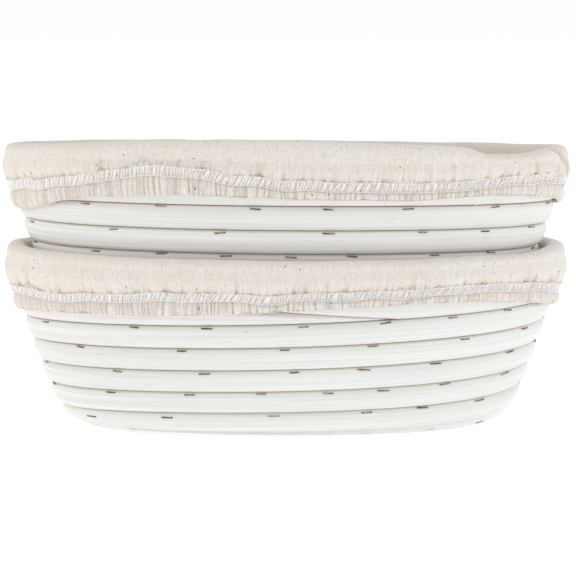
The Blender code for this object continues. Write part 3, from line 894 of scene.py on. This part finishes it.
def frayed_ends(hem, rng, count):
    """Short fibres standing off the stitched edge, tufts of them, and a few long loose ends."""
    tuft_shares = np.interp(TUFTS, hem.turns, hem.shares)
    starts = np.concatenate([rng.uniform(0, 1, 3 * count), rng.normal(np.repeat(tuft_shares, 45), 0.0035)])
    tubes = []
    for share in starts:
        steps = np.linspace(0, 1, 4)
        in_tuft = np.abs(tuft_shares - share).min() < 0.006
        length = rng.uniform(0.3, 0.9) if in_tuft else rng.uniform(0.1, 0.45)
        lean = rng.normal(0, 0.0014 if in_tuft else 0.0008)
        outs = (0.15 + 0.5 * np.sin(math.pi * steps) * rng.uniform(0.3, 1.2)) * MM
        path = hem_point(hem, share + lean * steps**2, 0.92 + steps * length, outs)
        tubes.append(tube_rings(path, FIBRE, 4))
    for turn in LOOSE_ENDS:
        steps = np.linspace(0, 1, 9)
        share = np.interp(turn, hem.turns, hem.shares) + 0.002 * np.sin(3.5 * steps)
        share = share + rng.normal(0, 0.002) * steps
        outs = (0.3 + 0.9 * np.sin(math.pi * steps) ** 0.5) * MM
        tubes.append(tube_rings(hem_point(hem, share, 0.8 - 2.9 * steps, outs), LOOSE_THREAD, 5))
    return tubes


# Each basket and its liner -----------------------------------------------------------------------------


def nest_places():
    """Where each basket stands: the lower one at the origin, the upper one as its base coil's box shows."""
    low, high = (Vector(corner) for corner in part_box("lower_base_coil"))
    upper_low, upper_high = (Vector(corner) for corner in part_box("upper_base_coil"))
    tilt = math.asin(((upper_high.z - upper_low.z) - (high.z - low.z)) / (high.x - low.x))
    middle, upper_middle = (low + high) / 2, (upper_low + upper_high) / 2
    half_turn = Matrix.Rotation(math.pi, 4, "Z") @ Matrix.Rotation(-tilt, 4, "Y")
    move = upper_middle - half_turn @ middle
    stand = Matrix.Translation((move.x, 0, move.z))
    liner = stand @ Matrix.Rotation(tilt, 4, "Y")
    return {"lower": (Matrix.Identity(4), Matrix.Identity(4)), "upper": (stand @ half_turn, liner)}


def settle(piece, place, material, body):
    piece.data.transform(place)
    piece.data.materials.clear()
    piece.data.materials.append(material)
    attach(piece, body)
    return piece


def build_basket(which, place, materials):
    seed = SEEDS[which]
    names = ("base_coil", "wall_cane_1", "wall_cane_2", "wall_cane_3")
    for name, start, end in zip(names, (None, *SPLICES), (*SPLICES, None)):
        rings = cane_rings(start, end, seed)
        if start is None:
            rings = np.concatenate([hairpin_rings(), rings])
        cane = settle(cane_object(f"{which}_smooth_{name}", rings), place, materials["rattan"],
                      f"{which}_basket")
        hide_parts(f"{which}_{name}")
    staples = settle(tube_object(f"{which}_staples", staple_tubes(seed)), place, materials["staple"],
                     f"{which}_basket")
    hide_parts(*(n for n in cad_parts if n.startswith(f"{which}_staple_")))


def build_liner(which, place, materials):
    body = f"{which}_liner"
    cloth = settle(liner_cloth(which), place, materials["cotton"], body)
    elastic = settle(elastic_band(which), place, materials["elastic"], body)
    rim = even_turns(400)[0]
    circle = ring_point(RIM_HALF_WIDTH, RIM_HEIGHT, np.append(rim, 1))
    circumference = np.linalg.norm(np.diff(circle, axis=0), axis=1).sum()
    stitches = settle(overlock_stitches(which, circumference), place, materials["thread"], body)
    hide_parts(f"{which}_liner_cloth")
    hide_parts(f"{which}_elastic_band")
    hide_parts(f"{which}_overlock_thread")


# Stage -------------------------------------------------------------------------------------------------


def build_stage():
    scene = bpy.context.scene
    scene.view_settings.view_transform = "Standard"
    n = Nodes("pale_floor")
    n.shader.inputs["Base Color"].default_value = (0.93, 0.93, 0.93, 1)
    n.shader.inputs["Roughness"].default_value = 0.9
    n.shader.inputs["Emission Color"].default_value = (1, 1, 1, 1)
    n.shader.inputs["Emission Strength"].default_value = 0.38
    mesh = bpy.data.meshes.new("floor")
    size = 6.0
    corners = [(-size, -size, 0), (size, -size, 0), (size, size, 0), (-size, size, 0)]
    mesh.from_pydata(corners, [], [(0, 1, 2, 3)])
    mesh.materials.append(n.material)
    floor = bpy.data.objects.new("floor", mesh)
    scene.collection.objects.link(floor)

    scene.world = studio_world()
    add_softbox("left_softbox", (-1.2, -0.35, 0.75), 0.6, 2.5, (1.0, 0.95, 0.86))
    add_softbox("right_softbox", (1.2, -0.45, 0.6), 0.6, 2.6, (0.93, 0.96, 1.0))
    add_softbox("front_softbox", (-0.2, -1.1, 1.2), 0.9, 0.4, (1.0, 1.0, 1.0))
    add_camera()


def studio_world():
    """White at the horizon behind the baskets, dimmer overhead and on the camera's side."""
    world = bpy.data.worlds.new("studio")
    world.use_nodes = True
    nodes, links = world.node_tree.nodes, world.node_tree.links
    split = nodes.new("ShaderNodeSeparateXYZ")
    links.new(nodes.new("ShaderNodeTexCoord").outputs["Generated"], split.inputs[0])
    product = nodes.new("ShaderNodeMath")
    product.operation = "MULTIPLY"
    for number, (axis, *limits) in enumerate((("Z", 0.03, 0.5, 1.0, 0.72), ("Y", -0.9, 0.1, 0.84, 1.0))):
        ramp = nodes.new("ShaderNodeMapRange")
        for socket, value in zip(("From Min", "From Max", "To Min", "To Max"), limits):
            ramp.inputs[socket].default_value = value
        links.new(split.outputs[axis], ramp.inputs["Value"])
        links.new(ramp.outputs["Result"], product.inputs[number])
    links.new(product.outputs[0], nodes["Background"].inputs["Strength"])
    nodes["Background"].inputs["Color"].default_value = (1, 1, 1, 1)
    return world


def add_softbox(name, place, size, power, colour):
    light = bpy.data.lights.new(name, "AREA")
    light.shape, light.size, light.energy, light.color = "SQUARE", size, power, colour
    lamp = bpy.data.objects.new(name, light)
    lamp.location = place
    lamp.rotation_euler = (Vector((0, 0, 0.06)) - Vector(place)).to_track_quat("-Z", "Y").to_euler()
    bpy.context.scene.collection.objects.link(lamp)


def add_camera():
    """In front, a little above level, looking at the middle of the pair."""
    aim, distance, elevation = Vector((1 * MM, 0, 56.8 * MM)), 0.65, math.radians(7.5)
    camera = bpy.data.cameras.new("camera")
    camera.lens, camera.sensor_width = 90.9, 36
    camera.clip_start = 0.01
    holder = bpy.data.objects.new("camera", camera)
    holder.location = aim + distance * Vector((0, -math.cos(elevation), math.sin(elevation)))
    holder.rotation_euler = (aim - holder.location).to_track_quat("-Z", "Y").to_euler()
    bpy.context.scene.collection.objects.link(holder)
    bpy.context.scene.camera = holder


def main():
    build_stage()
    materials = {
        "rattan": rattan_material(),
        "staple": staple_material(),
        "cotton": cotton_material(),
        "thread": thread_material(),
        "elastic": elastic_material(),
    }
    for which, (basket_place, liner_place) in nest_places().items():
        build_basket(which, basket_place, materials)
        build_liner(which, liner_place, materials)
    bpy.context.view_layer.update()


main()
